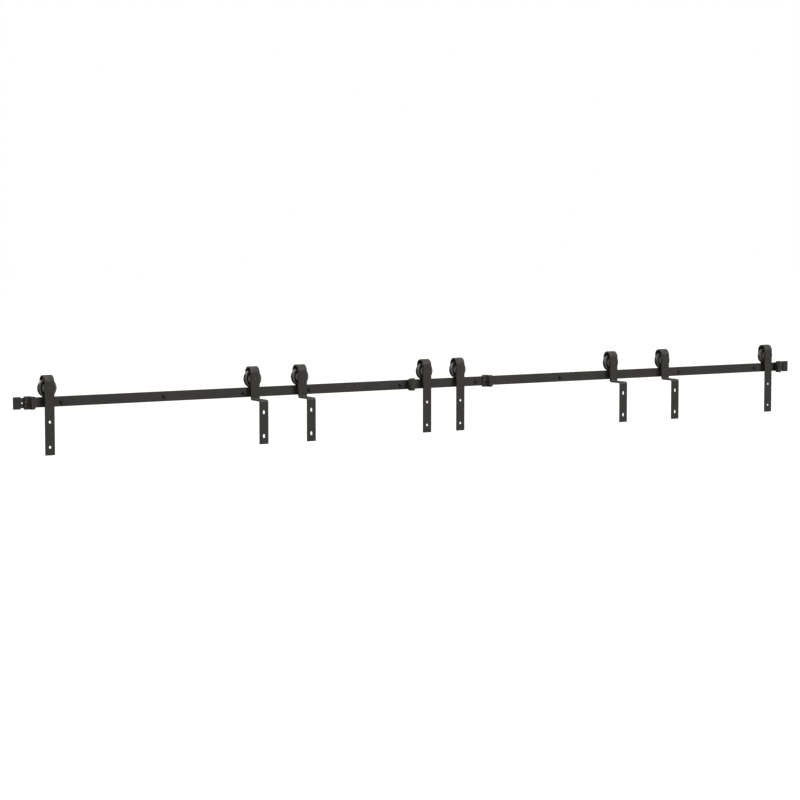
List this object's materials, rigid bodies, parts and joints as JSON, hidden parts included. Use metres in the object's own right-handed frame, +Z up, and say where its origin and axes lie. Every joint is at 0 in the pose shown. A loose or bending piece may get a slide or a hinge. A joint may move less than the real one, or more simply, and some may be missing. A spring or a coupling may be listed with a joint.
{
  "type": "sliding barn door hardware",
  "caption": "Flat wall-mounted rail with grooved-wheel hangers on straight and offset straps, end and middle stops, spacers and lag bolts.",
  "frame": {"origin": "on the wall plane, behind the middle of the rail, at the rail's mid height", "axes": "+X along the rail to the right, +Y into the wall, +Z up"},
  "size_m": [3.892, 0.1886, 0.3115],
  "materials": {
    "powder_coat": "matte black powder coat",
    "spacer_coat": "matte black powder coat",
    "wheel_coat": "matte black on turned steel",
    "black_oxide": "black oxide, satin",
    "cap_plastic": "matte moulded",
    "black_rubber": "matte"
  },
  "bodies": {
    "root": {"rail_left": "powder_coat", "rail_right": "powder_coat", "wall_spacer_1": "spacer_coat", "wall_spacer_2": "spacer_coat", "wall_spacer_3": "spacer_coat", "wall_spacer_4": "spacer_coat", "wall_spacer_5": "spacer_coat", "wall_spacer_6": "spacer_coat", "wall_spacer_7": "spacer_coat", "wall_spacer_8": "spacer_coat", "wall_spacer_9": "spacer_coat", "wall_spacer_10": "spacer_coat", "lag_bolt_1": "black_oxide", "lag_bolt_2": "black_oxide", "lag_bolt_3": "black_oxide", "lag_bolt_4": "black_oxide", "lag_bolt_5": "black_oxide", "lag_bolt_6": "black_oxide", "lag_bolt_7": "black_oxide", "lag_bolt_8": "black_oxide", "lag_bolt_9": "black_oxide", "lag_bolt_10": "black_oxide", "end_cap_left": "cap_plastic", "end_cap_right": "cap_plastic", "stop_bracket_left_end": "powder_coat", "stop_bumper_left_end": "black_rubber", "stop_bolt_left_end": "black_oxide", "stop_bracket_middle_left": "powder_coat", "stop_bumper_middle_left": "black_rubber", "stop_bolt_middle_left": "black_oxide", "stop_bracket_middle_right": "powder_coat", "stop_bumper_middle_right": "black_rubber", "stop_bolt_middle_right": "black_oxide", "stop_bracket_right_end": "powder_coat", "stop_bumper_right_end": "black_rubber", "stop_bolt_right_end": "black_oxide"},
    "hanger_1": {"hanger_1_strap_straight": "powder_coat", "hanger_1_axle_bolt": "black_oxide"},
    "wheel_1": {"hanger_1_wheel": "wheel_coat"},
    "hanger_2": {"hanger_2_strap_offset": "powder_coat", "hanger_2_axle_bolt": "black_oxide"},
    "wheel_2": {"hanger_2_wheel": "wheel_coat"},
    "hanger_3": {"hanger_3_strap_offset": "powder_coat", "hanger_3_axle_bolt": "black_oxide"},
    "wheel_3": {"hanger_3_wheel": "wheel_coat"},
    "hanger_4": {"hanger_4_strap_straight": "powder_coat", "hanger_4_axle_bolt": "black_oxide"},
    "wheel_4": {"hanger_4_wheel": "wheel_coat"},
    "hanger_5": {"hanger_5_strap_straight": "powder_coat", "hanger_5_axle_bolt": "black_oxide"},
    "wheel_5": {"hanger_5_wheel": "wheel_coat"},
    "hanger_6": {"hanger_6_strap_offset": "powder_coat", "hanger_6_axle_bolt": "black_oxide"},
    "wheel_6": {"hanger_6_wheel": "wheel_coat"},
    "hanger_7": {"hanger_7_strap_offset": "powder_coat", "hanger_7_axle_bolt": "black_oxide"},
    "wheel_7": {"hanger_7_wheel": "wheel_coat"},
    "hanger_8": {"hanger_8_strap_straight": "powder_coat", "hanger_8_axle_bolt": "black_oxide"},
    "wheel_8": {"hanger_8_wheel": "wheel_coat"}
  },
  "joints": [
    {"name": "hanger_1_travel", "type": "slide", "parent": "root", "child": "hanger_1", "axis": [1, 0, 0], "range_m": [-0.0405, 0.412]},
    {"name": "wheel_1_spin", "type": "hinge", "parent": "hanger_1", "child": "wheel_1", "pos_m": [-1.806, -0.0353, 0.0543], "axis": [0, 1, 0], "continuous": true},
    {"name": "hanger_2_travel", "type": "slide", "parent": "root", "child": "hanger_2", "axis": [1, 0, 0], "range_m": [-0.412, 0.0705]},
    {"name": "wheel_2_spin", "type": "hinge", "parent": "hanger_2", "child": "wheel_2", "pos_m": [-0.902, -0.0353, 0.0543], "axis": [0, 1, 0], "continuous": true},
    {"name": "hanger_3_travel", "type": "slide", "parent": "root", "child": "hanger_3", "axis": [1, 0, 0], "range_m": [-0.0705, 0.5005]},
    {"name": "wheel_3_spin", "type": "hinge", "parent": "hanger_3", "child": "wheel_3", "pos_m": [-0.681, -0.0353, 0.0543], "axis": [0, 1, 0], "continuous": true},
    {"name": "hanger_4_travel", "type": "slide", "parent": "root", "child": "hanger_4", "axis": [1, 0, 0], "range_m": [-0.0255, 0.0445]},
    {"name": "wheel_4_spin", "type": "hinge", "parent": "hanger_4", "child": "wheel_4", "pos_m": [-0.073, -0.0353, 0.0543], "axis": [0, 1, 0], "continuous": true},
    {"name": "hanger_5_travel", "type": "slide", "parent": "root", "child": "hanger_5", "axis": [1, 0, 0], "range_m": [-0.0445, 0.1025]},
    {"name": "wheel_5_spin", "type": "hinge", "parent": "hanger_5", "child": "wheel_5", "pos_m": [0.096, -0.0353, 0.0543], "axis": [0, 1, 0], "continuous": true},
    {"name": "hanger_6_travel", "type": "slide", "parent": "root", "child": "hanger_6", "axis": [1, 0, 0], "range_m": [-0.6335, 0.1055]},
    {"name": "wheel_6_spin", "type": "hinge", "parent": "hanger_6", "child": "wheel_6", "pos_m": [0.914, -0.0353, 0.0543], "axis": [0, 1, 0], "continuous": true},
    {"name": "hanger_7_travel", "type": "slide", "parent": "root", "child": "hanger_7", "axis": [1, 0, 0], "range_m": [-0.1055, 0.263]},
    {"name": "wheel_7_spin", "type": "hinge", "parent": "hanger_7", "child": "wheel_7", "pos_m": [1.205, -0.0353, 0.0543], "axis": [0, 1, 0], "continuous": true},
    {"name": "hanger_8_travel", "type": "slide", "parent": "root", "child": "hanger_8", "axis": [1, 0, 0], "range_m": [-0.263, 0.0355]},
    {"name": "wheel_8_spin", "type": "hinge", "parent": "hanger_8", "child": "wheel_8", "pos_m": [1.811, -0.0353, 0.0543], "axis": [0, 1, 0], "continuous": true}
  ],
  "couplings": [
    {"joint": "wheel_1_spin", "follows": "hanger_1_travel", "rad_per_m": 29.412},
    {"joint": "wheel_2_spin", "follows": "hanger_2_travel", "rad_per_m": 29.412},
    {"joint": "wheel_3_spin", "follows": "hanger_3_travel", "rad_per_m": 29.412},
    {"joint": "wheel_4_spin", "follows": "hanger_4_travel", "rad_per_m": 29.412},
    {"joint": "wheel_5_spin", "follows": "hanger_5_travel", "rad_per_m": 29.412},
    {"joint": "wheel_6_spin", "follows": "hanger_6_travel", "rad_per_m": 29.412},
    {"joint": "wheel_7_spin", "follows": "hanger_7_travel", "rad_per_m": 29.412},
    {"joint": "wheel_8_spin", "follows": "hanger_8_travel", "rad_per_m": 29.412}
  ]
}
